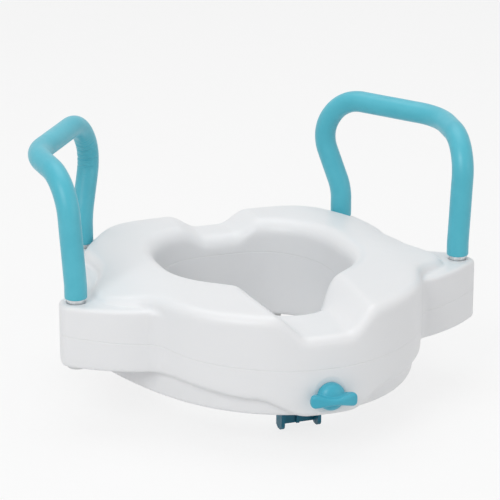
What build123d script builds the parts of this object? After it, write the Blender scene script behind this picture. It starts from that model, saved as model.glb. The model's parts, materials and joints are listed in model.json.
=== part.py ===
from build123d import *
import os
from bisect import bisect
from math import asin, atan2, cos, hypot, pi, radians, sin, sqrt, tan

# Raised toilet seat with removable padded arms and a screw-driven front clamp.
# Millimetres. +X is the user's left, -Y the front, +Z up from the floor line that
# the clamp jaw and the two rear hooks stand on.

# ---------------------------------------------------------------- seat body
wall = 4.0                      # wall of the hollow moulding
base_bottom_z = 51.0            # face that rests on the rim of the bowl
wing_bottom_z = 84.0            # underside of the wings
wing_top_z = 163.0              # top of the wings, where the arms enter
seat_top_z = 183.0              # flat part of the seat
front_y = -223.0                # front of the nose
rear_y = 232.0                  # back of the seat
flank_x = 200.0                 # side of the seat between the sockets
cheek_x = 147.0                 # side of the nose
cheek_y = -151.0
waist_x = 181.0                 # hollow between the nose and the wing
waist_y = -84.0
edge_radius = 14.0              # outer edge of the seat
lip_radius = 22.0               # edge of the opening
seat_fall = 12.0                # how far the seat falls towards the front sockets
nose_fall = 5.0                 # how far it falls towards the nose
lobe_gap_x = 24.0               # from the front socket to the step of the seat
lobe_gap_y = 18.6
rear_lobe_gap = 12.0            # from the rear socket to the step, each way

# ---------------------------------------------------------------- opening
opening_half_width = 122.0
opening_front_y = -120.0
opening_rear_y = 165.0
neck_half_width = 44.0          # where the opening runs into the front recess
ring_centre_y = 10.0            # the sections of the ring stand round this point

# ---------------------------------------------------------------- hand recesses
front_recess_depth = 28.0
rear_recess_depth = 17.4
middle_recess_half = 62.0       # half width at mid depth, seen halfway along the seat
front_recess_narrowing = 0.08   # per millimetre towards the front
rear_recess_narrowing = 0.12
recess_slope_run = 40.0

# ---------------------------------------------------------------- wings and sockets
front_socket_x = 257.8
front_socket_y = -26.4
rear_socket_x = 184.5
rear_socket_y = 193.6
wing_margin_x = 22.2            # wing wall beyond the front socket
wing_margin_y = 11.6
wing_depth = 30.0               # block round the front socket, front to back
wing_corner_radius = 15.0
wing_back_radius = 20.0
wing_edge_radius = 5.0
ledge_x = 216.0                 # outer side between the sockets
rear_margin_x = 23.0
rear_margin_y = 25.0
rear_corner_radius = 22.0
socket_floor = 8.0              # floor under the tube
socket_wall = 4.0

# ---------------------------------------------------------------- base and apron
base_front_inset = 9.0
base_rear_inset = 9.0
base_half_width = 209.0
base_flare = 1.02               # outline where it meets the wings, against the bottom
base_edge_radius = 5.0
drain_diameter = 8.0            # hole in the base on each side, lets water out of the hollow
apron_half = 28.0               # foot of the front apron
apron_shelf_z = 73.0            # height of the waved edge beside the apron
apron_rise = 60.0               # width of the rise from the apron's foot to the shelf
shelf_width = 90.0              # width of the rise from the shelf to the wings
wave_radius = 8.0               # rounding of the waved edge
wing_overlap = 14.0             # how far the ring's edge stands inside the wings

# ---------------------------------------------------------------- arms
tube_diameter = 22.0
tube_wall = 1.5
grip_diameter = 28.5
grip_end_gap = 5.0              # bare tube between the wing and the grip
grip_end_radius = 2.5
arm_lean_x = 8.4                # front leg leans out and back
arm_lean_y = 4.0
front_bend_z = 316.9
side_bend_x = 277.0
side_bend_y = 78.8
side_bend_z = 326.8
rear_bend_x = 187.0
rear_bend_y = 193.3
rear_bend_z = 333.0
hump_x = 164.1                  # rear leg swings in and back before it goes down
hump_y = 219.5
hump_z = 285.4
rear_leg_straight = 44.0        # straight rear leg above the wing
front_leg_straight = 22.0
tight_bend_radius = 54.0
wide_bend_radius = 73.0
easy_bend_radius = 150.0

# ---------------------------------------------------------------- arm fastening
plug_flange = 2.0
plug_length = 22.0
stud_diameter = 8.0
nut_flats = 13.0
nut_thickness = 6.5
hand_screw_diameter = 25.0
hand_screw_thickness = 5.2
hand_screw_edge = 2.2

# ---------------------------------------------------------------- front lock
lock_z = 77.0                   # axis of the lock screw
dish_radius = 24.0              # shallow dish round the knob
dish_depth = 2.0
screw_diameter = 10.0
screw_head_flats = 16.0
screw_head_thickness = 5.0
screw_rear_y = -88.0
bushing_wall = 2.7
bushing_flange_diameter = 24.0
bushing_flange_thickness = 2.0
washer_diameter = 28.0
washer_thickness = 1.3
clip_thickness = 1.5
clip_diameter = 17.0
clip_groove_depth = 0.8
hub_diameter = 35.0
hub_rim = 5.3
dome_height = 10.0
blade_half_span = 29.5
blade_front = 25.5              # blade in front of the hub's back face
blade_thickness = 6.5
blade_edge = 2.0

# ---------------------------------------------------------------- clamp jaw
jaw_width = 53.0
jaw_plate_y = -112.0            # rear face of the plate, at rest
jaw_plate = 4.0
jaw_flange = 4.5
jaw_depth = 19.0
jaw_foot = 3.0                  # flanges stand this far below the plate
jaw_corner = 7.0
jaw_boss_diameter = 25.0
jaw_boss_length = 12.0
clamp_nut_flats = 17.0
clamp_nut_thickness = 8.0
channel_front_y = -196.0
channel_top_z = 96.0

# ---------------------------------------------------------------- rear hooks and pads
hook_x = 70.0
hook_width = 34.0
hook_thickness = 3.0
hook_foot_length = 40.0
hook_lip = 12.0
hook_bend = 6.0
hook_screw_diameter = 4.2
hook_screw_head = 9.0
hook_screw_head_height = 2.4
hook_screw_length = 14.0
pillar_wall = 3.5
pad_length = 52.0
pad_width = 16.0
pad_thickness = 3.0
pad_angles = (-42.0, 30.0)

# ---------------------------------------------------------------- clearances
slide_gap = 0.3                 # tube in socket, screw in nut and bushing
fit_gap = 0.1                   # pieces that stay together
channel_gap = 0.5               # jaw in its channel

dome_radius = (hub_diameter**2 / 4 + dome_height**2) / (2 * dome_height)
jaw_top_z = channel_top_z - channel_gap
dish_y = front_y + dish_depth
socket_floor_z = wing_bottom_z + socket_floor
tube_end_z = socket_floor_z + plug_flange
hub_back_y = dish_y - washer_thickness - 2 * fit_gap
knob_front_y = hub_back_y - blade_front
middle_y = (knob_front_y + rear_y) / 2
bushing_radius = screw_diameter / 2 + slide_gap + bushing_wall
hook_front_y = opening_rear_y + 3.0


def smooth_outline(corners):
    """Smooth closed outline, symmetric in X, through its right-hand points."""
    left = [(-x, y) for x, y in reversed(corners) if x > 0]
    return Spline(*(corners + left), periodic=True)


def seat_line():
    lobe_x = front_socket_x - lobe_gap_x
    lobe_y = front_socket_y - lobe_gap_y
    return smooth_outline([
        (0, front_y), (60, front_y + 10), (105, front_y + 33), (cheek_x, cheek_y),
        (cheek_x + 20, cheek_y + 37), (waist_x, waist_y), (waist_x + 25, waist_y + 20),
        (lobe_x - 5, lobe_y), (lobe_x, lobe_y + 27), (lobe_x - 11, lobe_y + 63),
        (flank_x + 5, lobe_y + 97), (flank_x, lobe_y + 145), (flank_x - 3, rear_y - 87),
        (rear_socket_x - rear_lobe_gap, rear_socket_y - rear_lobe_gap), (138, rear_y - 14), (80, rear_y), (0, rear_y),
    ])


def opening_line():
    return smooth_outline([
        (0, opening_front_y), (neck_half_width - 22, opening_front_y + 6),
        (neck_half_width, opening_front_y + 29), (neck_half_width + 24, opening_front_y + 54),
        (opening_half_width - 22, -38), (opening_half_width - 4, -4),
        (opening_half_width, 40), (opening_half_width - 4, 90),
        (opening_half_width - 25, opening_rear_y - 33), (55, opening_rear_y - 5),
        (0, opening_rear_y),
    ])


def base_line():
    half = base_half_width
    front = front_y + base_front_inset
    rear = rear_y - base_rear_inset
    return smooth_outline([
        (0, front), (56, front + 11), (102, front + 38), (151, front + 94),
        (half - 22, front + 172), (half - 2, front + 245), (half, 90), (half - 19, rear - 78),
        (half - 57, rear - 27), (105, rear - 4), (60, rear), (0, rear),
    ])


def beside(line, distance):
    """Closed outline that runs at this distance outside another one."""
    count = 48
    points = []
    for i in range(count):
        ahead = line % (i / count)
        points.append(line @ (i / count) + Vector(ahead.Y, -ahead.X, 0) * distance)
    return Spline(*points, periodic=True)


class PolarLine:
    """A closed outline as a radius for each angle round the middle of the ring."""

    def __init__(self, line):
        spots = [line @ (i / 720) for i in range(720)]
        pairs = sorted((atan2(p.Y - ring_centre_y, p.X), hypot(p.X, p.Y - ring_centre_y))
                       for p in spots)
        before = [(a - 2 * pi, r) for a, r in pairs]
        after = [(a + 2 * pi, r) for a, r in pairs]
        self.table = before + pairs + after
        self.angles = [a for a, r in self.table]

    def radius(self, angle):
        i = bisect(self.angles, angle)
        a0, r0 = self.table[i - 1]
        a1, r1 = self.table[i]
        return r0 + (r1 - r0) * (angle - a0) / (a1 - a0)

    def slant(self, angle):
        """How much longer a step along the spoke is than a step square to the outline."""
        turn = 0.02
        change = (self.radius(angle + turn) - self.radius(angle - turn)) / (2 * turn)
        return sqrt(1 + (change / self.radius(angle)) ** 2)


def ease(share):
    """0 to 1 with level ends."""
    share = min(max(share, 0.0), 1.0)
    return share * share * (3 - 2 * share)


def seat_height(x, y):
    """Height of the seat, with its fall to the sides and to the nose and both recesses."""
    across = abs(x)
    if y < 0:
        depth = front_recess_depth
        half = middle_recess_half + front_recess_narrowing * y
    else:
        depth = rear_recess_depth
        half = middle_recess_half - rear_recess_narrowing * y
    recess = 1 - ease((across - half) / recess_slope_run + 0.5)
    side = opening_half_width + lip_radius
    z = seat_top_z - nose_fall * ease(y / front_y)
    z -= depth * recess
    z -= seat_fall * ease((across - side) / (front_socket_x - lobe_gap_x - side))
    return z


def wave_height(x, y):
    """Lower edge of the outer wall: down at the front apron, up inside the wings."""
    rise = ease((abs(x) - apron_half) / apron_rise)
    reach = ease((abs(x) - apron_half - apron_rise) / shelf_width)
    hidden = ease((y - waist_y + 10) / 30)
    front = (base_bottom_z + (apron_shelf_z - base_bottom_z) * rise
             + (wing_bottom_z - apron_shelf_z) * reach)
    behind = wing_bottom_z + wing_overlap
    return front + (behind - front) * hidden


def ring_section(seat, opening, angle, inset):
    """Cross-section of the seat ring on one spoke; inset gives the inside of the wall."""
    slant_out = seat.slant(angle)
    slant_in = opening.slant(angle)
    outer = seat.radius(angle) - inset * slant_out
    inner = opening.radius(angle) + inset * slant_in
    edge = edge_radius - inset
    lip = lip_radius - inset
    under = wave_radius - inset
    crest_out = outer - edge * min(slant_out, 1.35)
    crest_in = inner + lip * min(slant_in, 1.35)

    def spot(r, z):
        return Vector(r * cos(angle), ring_centre_y + r * sin(angle), z)

    def height(r):
        return seat_height(r * cos(angle), ring_centre_y + r * sin(angle)) - inset

    def inward(r):
        slope = (height(r + 1) - height(r - 1)) / 2
        return Vector(-cos(angle), -sin(angle), -slope)

    steps = 6
    spokes = [crest_out + (crest_in - crest_out) * i / steps for i in range(steps + 1)]
    crest = [spot(r, height(r)) for r in spokes]
    wave_z = wave_height(seat.radius(angle) * cos(angle),
                         ring_centre_y + seat.radius(angle) * sin(angle)) + inset
    foot_out = spot(outer, wave_z + under)
    foot_under = spot(outer - under * min(slant_out, 1.35), wave_z)
    foot_in = spot(inner, base_bottom_z + inset + 0.8)
    side_out = spot(outer, height(crest_out) - edge)
    side_in = spot(inner, height(crest_in) - lip)
    up = Vector(0, 0, 1)
    outward = Vector(cos(angle), sin(angle), 0)
    rounding = [1.2, 1.2]
    return Wire([
        Line(foot_out, side_out).edge(),
        Spline(side_out, crest[0], tangents=[up, inward(crest_out)],
               tangent_scalars=rounding).edge(),
        Spline(*crest, tangents=[inward(crest_out), inward(crest_in)]).edge(),
        Spline(crest[-1], side_in, tangents=[inward(crest_in), -up],
               tangent_scalars=rounding).edge(),
        Line(side_in, foot_in).edge(),
        Line(foot_in, foot_under).edge(),
        Spline(foot_under, foot_out, tangents=[outward, up], tangent_scalars=rounding).edge(),
    ])


def spoke_angles():
    """Spokes of the right half, closer together at the recesses and at the wing lobe.

    The outer ones lie beyond the middle, so that the two halves meet smoothly there.
    """
    start = -103.5
    spans = [(-93, 2), (-87, 1), (-66, 4), (-42, 3), (6, 12), (66, 6), (87, 4), (93, 1), (103.5, 2)]
    angles = [start]
    for end, count in spans:
        angles += [start + (end - start) * (i + 1) / count for i in range(count)]
        start = end
    return [radians(a) for a in angles]


def right_space():
    return Pos(500, 0, 0) * Box(1000, 1000, 1000)


def right_ring(inset):
    seat = PolarLine(seat_line())
    opening = PolarLine(opening_line())
    sections = [ring_section(seat, opening, a, inset) for a in spoke_angles()]
    return Solid.make_loft(sections) & right_space()


def wing_slab(inset):
    """The two wings as one slab, open in the middle."""
    corners = [
        (100, cheek_y + 21, 10), (cheek_x + 5, cheek_y + 11, 5), (waist_x - 5.6, waist_y - 14, 35),
        (front_socket_x + wing_margin_x, front_socket_y - wing_margin_y, wing_corner_radius),
        (front_socket_x + wing_margin_x - 5, front_socket_y - wing_margin_y + wing_depth,
         wing_back_radius),
        (ledge_x + 10, front_socket_y + 54.4, 40), (ledge_x, front_socket_y + 136, 200),
        (rear_socket_x + rear_margin_x, rear_socket_y + rear_margin_y, rear_corner_radius),
        (120, rear_y - 8, 40), (100, rear_y - 20, 10),
    ]
    loop = corners + [(-x, y, r) for x, y, r in reversed(corners)]
    line = FilletPolyline(*[(x, y) for x, y, r in loop], radius=[r for x, y, r in loop], close=True)
    face = make_face(line)
    if inset > 0:
        face = offset(face, -inset)
    height = wing_top_z - wing_bottom_z - 2 * inset
    slab = extrude(Pos(0, 0, wing_bottom_z + inset) * face, height)
    edges = slab.edges().group_by(Axis.Z)
    slab = fillet(edges[0] + edges[-1], max(wing_edge_radius - inset, 0.8))
    middle = make_face(beside(opening_line(), lip_radius + wall + 1.5 * inset))
    return (slab & right_space()) - extrude(middle, 400)


def base_section(base, opening, angle, inset):
    """Cross-section of the inset base that stands on the bowl, on one spoke."""
    slant = base.slant(angle)
    outer = base.radius(angle) - inset * slant
    flared = base.radius(angle) * base_flare - inset * slant
    inner = opening.radius(angle) + (wall / 2 + 1.5 * inset) * opening.slant(angle)
    bottom = base_bottom_z + inset
    top = wing_bottom_z + 2 * wing_overlap - inset
    edge = base_edge_radius - inset

    def spot(r, z):
        return Vector(r * cos(angle), ring_centre_y + r * sin(angle), z)

    foot_out = spot(outer, bottom + edge)
    foot_under = spot(outer - edge * min(slant, 1.35), bottom)
    top_out = spot(flared, top)
    outward = Vector(cos(angle), sin(angle), 0)
    return Wire([
        Line(spot(inner, bottom), foot_under).edge(),
        Spline(foot_under, foot_out, tangents=[outward, (top_out - foot_out).normalized()],
               tangent_scalars=[1.2, 1.2]).edge(),
        Line(foot_out, top_out).edge(),
        Line(top_out, spot(inner, top)).edge(),
        Line(spot(inner, top), spot(inner, bottom)).edge(),
    ])


def right_base(inset):
    base = PolarLine(base_line())
    opening = PolarLine(opening_line())
    sections = [base_section(base, opening, a, inset) for a in spoke_angles()]
    return Solid.make_loft(sections) & right_space()


def right_form(inset):
    """Right half of the body's outer form, or with an inset of the form of its hollow."""
    return right_ring(inset) + [wing_slab(inset), right_base(inset)]


def sockets():
    return [(s * x, y) for x, y in ((front_socket_x, front_socket_y), (rear_socket_x, rear_socket_y))
            for s in (1, -1)]


def along_y(radius, start, end):
    """Cylinder round the axis of the lock screw, from start back to end."""
    plane = Plane(origin=(0, start, lock_z), x_dir=(1, 0, 0), z_dir=(0, 1, 0))
    return extrude(plane * Circle(radius), end - start)


def hexagon_y(flats, start, end):
    plane = Plane(origin=(0, start, lock_z), x_dir=(1, 0, 0), z_dir=(0, 1, 0))
    return extrude(plane * RegularPolygon(flats / 2, 6, major_radius=False), end - start)


def upright(radius, x, y, low, high):
    return Pos(x, y, low) * extrude(Circle(radius), high - low)


def hook_screw_spots(side):
    y = hook_front_y + hook_foot_length * 0.66
    return [(side * hook_x + dx, y) for dx in (-hook_width / 4, hook_width / 4)]


def seat_body():
    tube_bore = tube_diameter / 2 + slide_gap
    channel_half = jaw_width / 2 + channel_gap
    channel_rear = opening_front_y + 20
    kept = [upright(tube_bore + socket_wall, x, y, wing_bottom_z, wing_top_z) for x, y in sockets()]
    kept += [upright(hook_screw_diameter / 2 + pillar_wall, x, y, base_bottom_z,
                     base_bottom_z + hook_screw_length + 2) for x, y in hook_screw_spots(1)]
    kept.append(along_y(bushing_flange_diameter / 2 + wall, front_y, channel_front_y))
    keep_front = channel_front_y - wall
    kept.append(Pos(0, (keep_front + channel_rear) / 2, (base_bottom_z + channel_top_z + wall) / 2)
                * Box(2 * (channel_half + wall), channel_rear - keep_front,
                      channel_top_z + wall - base_bottom_z))
    cuts = [upright(tube_bore, x, y, socket_floor_z, wing_top_z + 30) for x, y in sockets()]
    cuts += [upright(stud_diameter / 2 + slide_gap, x, y, wing_bottom_z - 10, socket_floor_z + 1)
             for x, y in sockets()]
    cuts += [upright(hook_screw_diameter / 2 + fit_gap, x, y, base_bottom_z - 1,
                     base_bottom_z + hook_screw_length) for x, y in hook_screw_spots(1)]
    cuts.append(Pos(0, (channel_front_y + channel_rear) / 2, (channel_top_z + base_bottom_z - 20) / 2)
                * Box(2 * channel_half, channel_rear - channel_front_y,
                      channel_top_z - base_bottom_z + 20))
    drain_x = (opening_half_width + base_half_width) / 2
    cuts.append(upright(drain_diameter / 2, drain_x, ring_centre_y, base_bottom_z - 1,
                        base_bottom_z + wall + 1))
    cuts.append(along_y(bushing_radius + fit_gap, front_y - 5, channel_front_y + 1))
    cuts.append(along_y(bushing_flange_diameter / 2 + fit_gap, front_y - 5,
                        dish_y + bushing_flange_thickness))
    cuts.append(along_y(washer_diameter / 2 + slide_gap, front_y - 5, dish_y))
    ball = (dish_radius**2 + dish_depth**2) / (2 * dish_depth)
    cuts.append(Pos(0, dish_y - ball, lock_z) * Sphere(ball))
    half = right_form(0.0) - (right_form(wall) - kept) - cuts
    return half + mirror(half, Plane.YZ)


def arm_path(end_z):
    """Centre line of the left arm, down to the given height at both ends."""
    x, y = front_socket_x, front_socket_y
    points = [
        (x, y, end_z), (x, y, wing_top_z + front_leg_straight),
        (x + arm_lean_x, y + arm_lean_y, front_bend_z), (side_bend_x, side_bend_y, side_bend_z),
        (rear_bend_x, rear_bend_y, rear_bend_z), (hump_x, hump_y, hump_z),
        (rear_socket_x, rear_socket_y, wing_top_z + rear_leg_straight),
        (rear_socket_x, rear_socket_y, end_z),
    ]
    wanted = [easy_bend_radius, tight_bend_radius, wide_bend_radius, wide_bend_radius,
              tight_bend_radius, wide_bend_radius]
    radii = []
    for i, radius in enumerate(wanted):
        before = Vector(points[i + 1]) - Vector(points[i])
        after = Vector(points[i + 2]) - Vector(points[i + 1])
        room = 0.48 * min(before.length, after.length)
        radii.append(min(radius, room / tan(radians(before.get_angle(after)) / 2)))
    return FilletPolyline(*points, radius=radii)


def bent_tube(end_z, outer, inner):
    path = arm_path(end_z)
    start = Plane(origin=path @ 0, z_dir=path % 0)
    return sweep(start * (Circle(outer) - Circle(inner)), path=path)


def arm_tube():
    return bent_tube(tube_end_z, tube_diameter / 2, tube_diameter / 2 - tube_wall)


def arm_grip():
    end_z = wing_top_z + grip_end_gap
    grip = bent_tube(end_z, grip_diameter / 2, tube_diameter / 2 + fit_gap)
    rims = [e for e in grip.edges() if e.geom_type == GeomType.CIRCLE
            and abs(e.radius - grip_diameter / 2) < 0.01 and abs(e.center().Z - end_z) < 0.01]
    return fillet(rims, grip_end_radius)


def arm_sockets():
    return [(front_socket_x, front_socket_y), (rear_socket_x, rear_socket_y)]


def plug(x, y):
    """Flanged plug in the end of a tube, with the pocket of the nut on top."""
    body = upright(tube_diameter / 2 - tube_wall - fit_gap, x, y, socket_floor_z,
                   tube_end_z + plug_length)
    flange = upright(tube_diameter / 2, x, y, socket_floor_z, tube_end_z)
    bore = upright(stud_diameter / 2 + slide_gap, x, y, socket_floor_z - 1, 300)
    pocket_z = tube_end_z + plug_length - nut_thickness
    pocket = RegularPolygon(nut_flats / 2 + fit_gap, 6, major_radius=False)
    return body + flange - bore - Pos(x, y, pocket_z) * extrude(pocket, nut_thickness + 1)


def plug_nut(x, y):
    z = tube_end_z + plug_length - nut_thickness
    face = RegularPolygon(nut_flats / 2, 6, major_radius=False)
    face -= Circle(stud_diameter / 2 + slide_gap)
    return Pos(x, y, z) * extrude(face, nut_thickness)


def hand_screw_head(x, y):
    top = wing_bottom_z - fit_gap
    head = upright(hand_screw_diameter / 2, x, y, top - hand_screw_thickness, top)
    head = fillet(head.edges().sort_by(Axis.Z)[0], hand_screw_edge)
    return head - upright(stud_diameter / 2 + fit_gap / 2, x, y, top - hand_screw_thickness + 1.5, 300)


def hand_screw_stud(x, y):
    low = wing_bottom_z - fit_gap - hand_screw_thickness + 1.5
    stud = upright(stud_diameter / 2, x, y, low, tube_end_z + plug_length - 1)
    return chamfer(stud.edges().sort_by(Axis.Z)[-1], 1.0)


def front_bushing():
    flange = along_y(bushing_flange_diameter / 2, dish_y, dish_y + bushing_flange_thickness)
    sleeve = along_y(bushing_radius, dish_y, channel_front_y)
    return flange + sleeve - along_y(screw_diameter / 2 + slide_gap, dish_y - 1, channel_front_y + 1)


def lock_washer():
    ring = along_y(washer_diameter / 2, dish_y - fit_gap - washer_thickness, dish_y - fit_gap)
    return ring - along_y(screw_diameter / 2 + fit_gap, dish_y - 20, dish_y + 1)


def lock_screw():
    head_y = hub_back_y - 6.5
    rod = along_y(screw_diameter / 2, head_y, screw_rear_y)
    rod = chamfer(rod.edges().filter_by(GeomType.CIRCLE).sort_by(Axis.Y)[-1], 1.2)
    head = hexagon_y(screw_head_flats, head_y - screw_head_thickness, head_y)
    groove_start = channel_front_y + fit_gap
    groove = along_y(screw_diameter, groove_start, groove_start + clip_thickness + fit_gap)
    groove -= along_y(screw_diameter / 2 - clip_groove_depth, groove_start - 1, groove_start + 5)
    return rod + head - groove


def retaining_clip():
    """Open ring in the groove of the screw, behind the bushing."""
    start = channel_front_y + 1.5 * fit_gap
    ring = along_y(clip_diameter / 2, start, start + clip_thickness)
    ring -= along_y(screw_diameter / 2 - clip_groove_depth + fit_gap / 2, start - 1, start + 5)
    gap = Pos(0, start, lock_z + clip_diameter / 2) * Box(6.0, 10, clip_diameter - 4)
    return ring - gap


def lock_knob():
    """Domed hub with a level wing blade across it."""
    rim_y = hub_back_y - hub_rim
    half = hub_diameter / 2
    ball_x = dome_radius * sin(asin(half / dome_radius) / 2)
    ball_y = rim_y - dome_height + dome_radius - sqrt(dome_radius**2 - ball_x**2)
    arc = ThreePointArc((half, rim_y), (ball_x, ball_y), (0, rim_y - dome_height))
    sides = Polyline((0, rim_y - dome_height), (0, hub_back_y), (half, hub_back_y), (half, rim_y))
    profile = make_face([arc, sides])
    hub = Pos(0, 0, lock_z) * revolve(profile, Axis.Y)
    span = blade_half_span
    front = knob_front_y
    corners = [
        (10, front + 3.5, 16), (span, front, 5.5), (span + 0.5, front + 13, 5.5),
        (hub_diameter / 2 - 1.5, hub_back_y - 3.5, 4),
    ]
    loop = corners + [(-x, y, r) for x, y, r in reversed(corners)]
    line = FilletPolyline(*[(x, y) for x, y, r in loop], radius=[r for x, y, r in loop], close=True)
    blade = extrude(Pos(0, 0, lock_z - blade_thickness / 2) * make_face(line), blade_thickness)
    groups = blade.edges().group_by(Axis.Z)
    blade = fillet(groups[0] + groups[-1], blade_edge)
    head_y = hub_back_y - 6.5
    pocket = hexagon_y(screw_head_flats + fit_gap, head_y - screw_head_thickness, head_y)
    return hub + blade - pocket - along_y(screw_diameter / 2 + fit_gap / 2, head_y - 1, hub_back_y + 1)


def clamp_jaw():
    """U channel open to the front, with the nut housing on its back."""
    half = jaw_width / 2
    plate_front = jaw_plate_y - jaw_plate
    flange_front = jaw_plate_y - jaw_depth
    plate = Pos(0, jaw_plate_y - jaw_plate / 2, (jaw_foot + jaw_top_z) / 2) \
        * Box(jaw_width, jaw_plate, jaw_top_z - jaw_foot)
    side = make_face(Polyline((flange_front, 0), (jaw_plate_y, 0), (jaw_plate_y, jaw_top_z),
                              (flange_front, jaw_top_z), close=True))
    side = fillet(side.vertices().sort_by(Axis.Y)[:2], jaw_corner)
    flanges = [Pos(x, 0, 0) * extrude(Plane.YZ * side, jaw_flange)
               for x in (-half, half - jaw_flange)]
    housing_rear = jaw_plate_y + jaw_boss_length
    boss = along_y(jaw_boss_diameter / 2, jaw_plate_y - 0.5, housing_rear)
    rib_z = (lock_z - jaw_boss_diameter / 2 + jaw_foot) / 2
    web = Pos(0, jaw_plate_y, rib_z) * Box(4, 14, 2 * (rib_z - jaw_foot))
    jaw = plate + flanges + boss + web
    jaw -= along_y(screw_diameter / 2 + slide_gap, plate_front - 1, housing_rear + 1)
    return jaw - hexagon_y(clamp_nut_flats + fit_gap, housing_rear - clamp_nut_thickness,
                           housing_rear + 1)


def clamp_nut():
    rear = jaw_plate_y + jaw_boss_length
    nut = hexagon_y(clamp_nut_flats, rear - clamp_nut_thickness, rear)
    return nut - along_y(screw_diameter / 2 + slide_gap, rear - 20, rear + 1)


def rear_hook(side):
    """Bent strip: a foot under the base, a tongue down inside the bowl and a lip at its end."""
    rear = hook_front_y + hook_foot_length
    top = base_bottom_z
    t = hook_thickness
    outline = [
        (rear, top, 0.5), (hook_front_y, top, hook_bend), (hook_front_y, 0, hook_bend),
        (hook_front_y + hook_lip, 0, 0.8), (hook_front_y + hook_lip, t, 0.8),
        (hook_front_y + t, t, hook_bend - t), (hook_front_y + t, top - t, hook_bend - t),
        (rear, top - t, 0.5),
    ]
    line = FilletPolyline(*[(y, z) for y, z, r in outline], radius=[r for y, z, r in outline],
                          close=True)
    strip = extrude(Plane.YZ * make_face(line), hook_width)
    strip = Pos(side * hook_x - hook_width / 2, 0, 0) * strip
    holes = [upright(hook_screw_diameter / 2 + fit_gap, x, y, 20, top + 1)
             for x, y in hook_screw_spots(side)]
    return strip - holes


def hook_screw(x, y):
    seat = base_bottom_z - hook_thickness
    head = upright(hook_screw_head / 2, x, y, seat - hook_screw_head_height, seat)
    head = fillet(head.edges().sort_by(Axis.Z)[0], 1.2)
    shank = upright(hook_screw_diameter / 2, x, y, seat - 0.5,
                    base_bottom_z + hook_screw_length - 1)
    slot = Pos(x, y, seat - hook_screw_head_height) * Box(6, 1.2, 2)
    return head + shank - slot


def rim_pad(side, degrees):
    """Rubber pad under the base, halfway between the opening and the edge."""
    angle = radians(degrees)
    middle = (PolarLine(opening_line()).radius(angle) + PolarLine(base_line()).radius(angle)) / 2
    pad = extrude(SlotOverall(pad_length, pad_width), pad_thickness)
    pad = fillet(pad.edges().group_by(Axis.Z)[0], 1.0)
    x = middle * cos(angle)
    y = ring_centre_y + middle * sin(angle)
    placed = Pos(x, y, base_bottom_z - pad_thickness) * Rot(0, 0, degrees + 90) * pad
    return placed if side > 0 else mirror(placed, Plane.YZ)


def group(solids):
    return Compound(list(solids))


def save(node, shape):
    """Writes one node, with the whole object centred on the origin."""
    export_step(Pos(0, -middle_y, 0) * shape, os.path.join("parts", node + ".step"))


os.makedirs("parts", exist_ok=True)
save("seat_body", seat_body())
tube = arm_tube()
grip = arm_grip()
plugs = group(plug(x, y) for x, y in arm_sockets())
nuts = group(plug_nut(x, y) for x, y in arm_sockets())
for name, shape in (("tube", tube), ("grip", grip), ("end_plugs", plugs), ("plug_nuts", nuts)):
    save("left_arm_" + name, shape)
    save("right_arm_" + name, mirror(shape, Plane.YZ))
for end, (x, y) in zip(("front", "rear"), arm_sockets()):
    for hand, side in (("left", 1), ("right", -1)):
        save(f"{end}_{hand}_hand_screw", hand_screw_head(side * x, y))
        save(f"{end}_{hand}_stud", hand_screw_stud(side * x, y))
save("lock_knob", lock_knob())
save("lock_screw", lock_screw())
save("lock_washer", lock_washer())
save("front_bushing", front_bushing())
save("retaining_clip", retaining_clip())
save("clamp_jaw", clamp_jaw())
save("clamp_nut", clamp_nut())
for hand, side in (("left", 1), ("right", -1)):
    save(f"{hand}_rear_hook", rear_hook(side))
    save(f"{hand}_hook_screws", group(hook_screw(x, y) for x, y in hook_screw_spots(side)))
save("rim_pads", group(rim_pad(side, angle) for angle in pad_angles for side in (1, -1)))
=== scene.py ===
import bpy
import bmesh
import json
import math
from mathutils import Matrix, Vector, noise


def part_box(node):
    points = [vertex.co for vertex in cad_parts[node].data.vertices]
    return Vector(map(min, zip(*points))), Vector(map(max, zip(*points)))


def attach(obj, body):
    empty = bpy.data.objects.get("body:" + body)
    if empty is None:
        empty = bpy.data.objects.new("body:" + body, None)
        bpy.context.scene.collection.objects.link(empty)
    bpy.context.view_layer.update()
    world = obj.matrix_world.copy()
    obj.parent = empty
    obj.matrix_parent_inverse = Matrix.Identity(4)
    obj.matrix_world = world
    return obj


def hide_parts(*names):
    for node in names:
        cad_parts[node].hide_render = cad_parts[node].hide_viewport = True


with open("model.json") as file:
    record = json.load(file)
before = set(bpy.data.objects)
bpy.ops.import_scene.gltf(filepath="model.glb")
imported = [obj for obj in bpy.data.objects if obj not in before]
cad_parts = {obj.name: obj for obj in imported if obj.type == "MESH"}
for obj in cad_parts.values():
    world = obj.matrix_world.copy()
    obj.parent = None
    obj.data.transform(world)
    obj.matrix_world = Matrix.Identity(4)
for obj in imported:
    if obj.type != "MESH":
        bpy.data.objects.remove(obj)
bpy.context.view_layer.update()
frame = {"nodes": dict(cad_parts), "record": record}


# ------------------------------------------------------------------ camera
AZIMUTH = math.radians(-20.28)
ELEVATION = math.radians(17.28)
MIDDLE_Y = -0.0075              # part.py moves the object by minus this much
AIM = Vector((-0.0446, -0.0662 - MIDDLE_Y, 0.2188))
DISTANCE = 2.8896

towards = Vector((math.sin(AZIMUTH) * math.cos(ELEVATION), -math.cos(AZIMUTH) * math.cos(ELEVATION),
                  math.sin(ELEVATION)))
camera_data = bpy.data.cameras.new("camera")
camera_data.lens = 168.3
camera_data.sensor_width = 36.0
camera = bpy.data.objects.new("camera", camera_data)
camera.location = AIM + towards * DISTANCE
camera.rotation_euler = (-towards).to_track_quat("-Z", "Y").to_euler()
bpy.context.scene.collection.objects.link(camera)
bpy.context.scene.camera = camera
bpy.context.scene.view_settings.view_transform = "Standard"


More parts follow.
